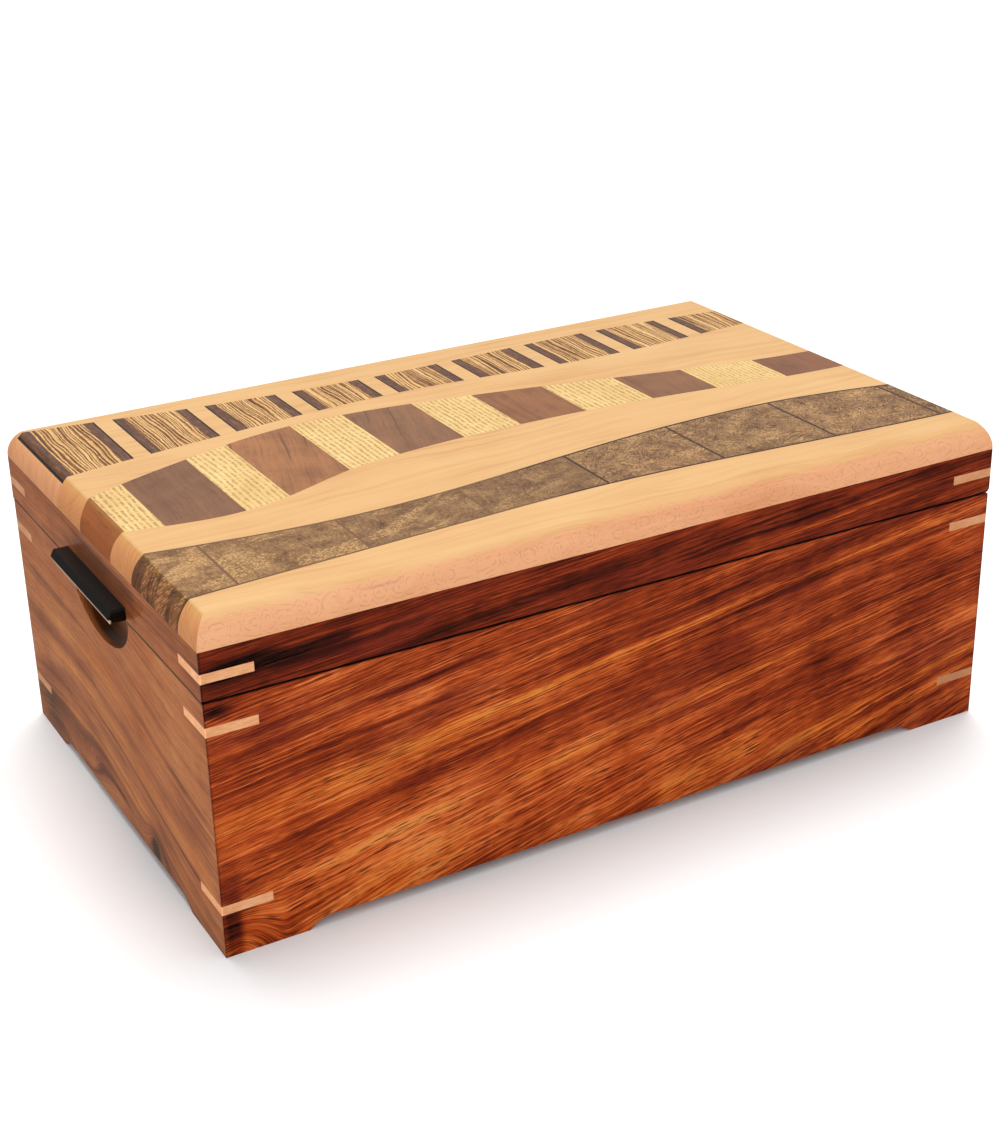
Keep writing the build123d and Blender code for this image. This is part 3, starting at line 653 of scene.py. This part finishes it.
def brass(name):
    paint = Paint(name)
    brushed = paint.noise(paint.x / 0.12, paint.y / 6, paint.z / 0.12, 2, 0.6)
    tarnish = paint.noise(paint.x / 3, paint.y / 3, paint.z / 3, 3, 0.6)
    colour = paint.ramp(tarnish, [
        (0.35, (196, 152, 84)), (0.55, (222, 182, 106)), (0.75, (238, 206, 136)),
    ])
    roughness = brushed * 0.16 + tarnish * 0.14 + 0.14
    return paint.finish(colour, roughness, brushed, 0.006, Metallic=1.0)


def felt(name):
    paint = Paint(name)
    fibres = paint.noise(paint.x / 0.5, paint.y / 0.5, paint.z / 0.5, 4, 0.7, 1.5)
    tufts = paint.noise(paint.x / 2.2, paint.y / 2.2, paint.z / 2.2, 3, 0.65, 0.8)
    nap = paint.noise(paint.x / 40, paint.y / 26, 2.0, 2)
    tone = fibres * 0.5 + tufts * 0.3 + nap * 0.2
    colour = paint.ramp(tone, [(0.32, (30, 27, 27)), (0.52, (52, 48, 47)), (0.70, (82, 76, 73))])
    return paint.finish(colour, tufts * 0.1 + 0.88, fibres * 0.6 + tufts * 0.4, 0.35,
                        Sheen_Weight=0.5, Sheen_Roughness=0.6, Specular_IOR_Level=0.15)


# ---------------------------------------------------------------- which piece gets which

def dress(node, material):
    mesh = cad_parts[node]
    for place in mesh.material_slots:
        place.material = material


def dress_walls():
    front = koa("koa_front", front_grain, FIRE, FRONT_STREAKS, FRONT_PATCHES, seed=2.0, base=0.54,
                contrast=1.26)
    back = koa("koa_back", front_grain, FIRE, seed=61.0)
    left = koa("koa_left", end_grain, BROWN, END_STREAKS, END_PATCHES, seed=9.0, base=0.54,
               contrast=0.8, pores=0.5)
    right = koa("koa_right", end_grain, BROWN, seed=83.0, base=0.46, contrast=0.8, pores=0.6)
    dress("base_front_wall", front)
    dress("base_back_wall", back)
    dress("base_left_wall", left)
    dress("base_right_wall", right)
    dress("lid_front_rail",
          koa("koa_lid_front", lid_grain, FIRE, LID_STREAKS, seed=15.0, base=0.36))
    dress("lid_back_rail", koa("koa_lid_back", lid_grain, FIRE, seed=72.0, base=0.38))
    dress("lid_left_rail", koa("koa_lid_left", end_lid_grain, BROWN, seed=21.0, base=0.42,
                               contrast=0.6, pores=0.5))
    dress("lid_right_rail", koa("koa_lid_right", end_lid_grain, BROWN, seed=93.0, base=0.46,
                                contrast=0.7, pores=0.6))
    keys = key_wood("maple_keys")
    for node in ("base_upper_keys", "base_lower_keys", "lid_keys"):
        dress(node, keys)


def dress_panel():
    dress("maple_strip_back", maple("maple_back", 3.0, end_tint=(255, 248, 240)))
    dress("maple_strip_upper", maple("maple_upper", 17.0, 0.06))
    dress("maple_strip_lower", maple("maple_lower", 29.0, -0.05))
    dress("maple_strip_front", maple("maple_front", 41.0))
    dress("maple_spacers", maple("maple_spacer", 55.0, end_tint=(255, 248, 236)))
    spacings = [1.30, 1.20, 1.15, 1.30, 1.25, 1.50, 1.40, 1.50, 1.60]
    for number, spacing in enumerate(spacings, 1):
        dress(f"zebrano_block_{number}", zebrano(f"zebrano_{number}", number * 7.3, spacing))
    dress("brown_bands", brown_band("brown_band"))
    dress("dark_veneers", dark_veneer("dark_veneer"))
    walnuts = [
        (0.00, 0.1, (158, 102, 54)), (0.05, 0.2, (130, 91, 66)), (0.28, 0.9, (160, 108, 70)),
        (0.30, 1.0, (136, 96, 68)), (0.02, 0.1, (146, 97, 64)), (0.10, 0.5, (134, 92, 64)),
        (0.02, 0.3, (132, 88, 62)),
    ]
    for number, (lean, contrast, tint) in enumerate(walnuts, 1):
        material = walnut(f"walnut_{number}", number * 5.9, lean, contrast, tint)
        dress(f"walnut_block_{number}", material)
    rows = [(1.95, 0.75), (2.00, 0.65), (2.05, 0.7), (1.95, 0.7), (2.10, 0.7), (1.75, 0.6)]
    for number, (pitch, strength) in enumerate(rows, 1):
        dress(f"ash_block_{number}", ash(f"ash_{number}", number * 8.3, pitch, strength))
    burls = [
        (1.0, 0.3, 0.46, 1.0), (1.0, 0.3, 0.46, 0.98), (0.9, 0.3, 0.50, 0.95),
        (0.5, 0.4, 0.55, 0.92), (0.3, 1.0, 0.55, 1.0), (0.4, 0.9, 0.55, 0.96),
        (0.3, 1.0, 0.58, 1.0), (0.2, 1.0, 0.60, 0.9),
    ]
    for number, choices in enumerate(burls, 1):
        dress(f"burl_block_{number}", burl(f"burl_{number}", number * 6.7, *choices))


def dress_the_rest():
    dress("bottom_panel", board("floor_board", 5.0))
    dress("lid_backing_board", board("lid_board", 19.0))
    dress("lift_handle", ebony("ebony"))
    metal = brass("brass")
    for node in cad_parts:
        if "hinge" in node:
            dress(node, metal)


# ---------------------------------------------------------------- edges and felt

def ease_edges(node, width, segments=3):
    """Rounds a piece's sharp edges a little, so that they catch the light."""
    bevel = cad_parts[node].modifiers.new("eased_edges", "BEVEL")
    bevel.width = width * MM
    bevel.segments = segments
    bevel.limit_method = "ANGLE"
    bevel.angle_limit = radians(30)
    bevel.harden_normals = True


# The felt's top lies this many mm below its CAD solid's, give or take a wave and the nap, and
# lower along its edges.
FELT_DROP = 0.30
FELT_WAVE, FELT_WAVE_LENGTH = 0.16, 0.045
FELT_NAP, FELT_NAP_LENGTH = 0.10, 0.0032
FELT_EDGE, FELT_EDGE_DROP = 0.6, 0.25
FELT_COLUMNS, FELT_ROWS = 160, 96


def felt_drop(x, y, edge):
    wave = turbulence.noise(Vector((x / FELT_WAVE_LENGTH, y / FELT_WAVE_LENGTH, 0.3)))
    nap = turbulence.noise(Vector((x / FELT_NAP_LENGTH, y / FELT_NAP_LENGTH, 1.7)))
    at_edge = FELT_EDGE_DROP if edge < FELT_EDGE * MM else 0.0
    return (FELT_DROP + FELT_WAVE * wave + FELT_NAP * nap + at_edge) * MM


def lay_felt():
    """A thin napped sheet on the floor board."""
    low, high = (Vector(corner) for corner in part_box("felt_lining"))
    width, depth, thickness = high - low
    mesh = bmesh.new()
    rows = []
    for j in range(FELT_ROWS + 1):
        row = []
        for i in range(FELT_COLUMNS + 1):
            u, v = i / FELT_COLUMNS, j / FELT_ROWS
            x = low.x + u * width
            y = low.y + v * depth
            edge = min(u * width, (1 - u) * width, v * depth, (1 - v) * depth)
            row.append(mesh.verts.new((x, y, high.z - felt_drop(x, y, edge))))
        rows.append(row)
    for row, next_row in zip(rows, rows[1:]):
        for i in range(FELT_COLUMNS):
            mesh.faces.new((row[i], row[i + 1], next_row[i + 1], next_row[i]))
    data = bpy.data.meshes.new("felt_sheet")
    mesh.to_mesh(data)
    mesh.free()
    sheet = bpy.data.objects.new("felt_sheet", data)
    bpy.context.scene.collection.objects.link(sheet)
    for face in data.polygons:
        face.use_smooth = True
    solid = sheet.modifiers.new("thickness", "SOLIDIFY")
    solid.thickness = thickness - 2 * FELT_DROP * MM
    solid.offset = -1.0
    data.materials.append(felt("felt"))
    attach(sheet, "base")
    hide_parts("felt_lining")


# ---------------------------------------------------------------- studio

# How bright the room is in front of the box, behind it and below it.
FRONT_GLOW = 0.75
BACK_GLOW = 0.29
LOW_BACK_GLOW = 0.17
BELOW_GLOW = 0.02
# The softbox above the box: its strength, the angle it fills and the way to it.
SOFTBOX = 2.78
SOFTBOX_ANGLE = 46
SOFTBOX_TOWARDS = (0.16, 0.30, 1.0)
FLOOR_REACH = 30.0


def white_floor():
    floor_mesh = bpy.data.meshes.new("studio_floor")
    signs = [(-1, -1), (1, -1), (1, 1), (-1, 1)]
    corners = [(FLOOR_REACH * right, FLOOR_REACH * back, 0) for right, back in signs]
    floor_mesh.from_pydata(corners, [], [(0, 1, 2, 3)])
    floor = bpy.data.objects.new("studio_floor", floor_mesh)
    bpy.context.scene.collection.objects.link(floor)
    floor.visible_glossy = False
    paint = Paint("floor_white")
    mottle = paint.noise(paint.x / 300, paint.y / 300, 0.0, 2)
    colour = paint.ramp(mottle, [(0.3, (249, 249, 249)), (0.7, (251, 251, 251))])
    floor_mesh.materials.append(paint.finish(colour, 0.8, Specular_IOR_Level=0.0))


def room_light():
    """Soft light from all round, brightest from the front. The camera sees only white."""
    world = bpy.data.worlds.new("studio")
    bpy.context.scene.world = world
    world.use_nodes = True
    tree = world.node_tree
    place = tree.nodes.new("ShaderNodeTexCoord")
    split = tree.nodes.new("ShaderNodeSeparateXYZ")
    tree.links.new(place.outputs["Generated"], split.inputs[0])
    east, north, up = (Field(tree, socket) for socket in split.outputs)
    above = up.rise(-0.10, 0.02)
    front = (east * -0.40 - north * 0.92).rise(-0.30, 0.80)
    low_back = (north * 0.86 - east * 0.50).rise(-0.20, 0.60) * up.rise(0.0, -0.12)
    brightness = above * (front * FRONT_GLOW + BACK_GLOW) + low_back * LOW_BACK_GLOW + BELOW_GLOW
    background = tree.nodes["Background"]
    path = tree.nodes.new("ShaderNodeLightPath")
    direct = Field(tree, path.outputs["Is Camera Ray"])
    feed(tree, brightness * (1.0 - direct) + direct, background.inputs["Strength"])
    room = Mixer(tree).mix((255, 255, 255), (255, 226, 204), low_back * (1.0 - direct))
    feed(tree, room, background.inputs["Color"])


def softbox():
    sun = bpy.data.lights.new("softbox", "SUN")
    sun.energy = SOFTBOX
    sun.angle = radians(SOFTBOX_ANGLE)
    holder = bpy.data.objects.new("softbox", sun)
    bpy.context.scene.collection.objects.link(holder)
    holder.rotation_euler = Vector(SOFTBOX_TOWARDS).to_track_quat("Z", "Y").to_euler()


# The camera's lens in mm, its place in mm from under the box's middle, and its turn in degrees.
LENS = 62.2
CAMERA_PLACE = (-314.4, -566.8, 356.0)
CAMERA_TURN = (65.62, 1.19, -29.63)


def camera():
    """Above the box, and to the left of its front."""
    lens = bpy.data.cameras.new("camera")
    lens.lens = LENS
    lens.sensor_width = 36.0
    lens.sensor_fit = "AUTO"
    lens.clip_start = 0.01
    lens.clip_end = 50.0
    holder = bpy.data.objects.new("camera", lens)
    bpy.context.scene.collection.objects.link(holder)
    holder.location = (Vector((MIDDLE_X, 0, 0)) + Vector(CAMERA_PLACE)) * MM
    holder.rotation_euler = [radians(angle) for angle in CAMERA_TURN]
    bpy.context.scene.camera = holder


camera()
dress_walls()
dress_panel()
dress_the_rest()
ease_edges("lift_handle", 0.45)
lay_felt()
bpy.context.scene.view_settings.view_transform = "Standard"
white_floor()
room_light()
softbox()
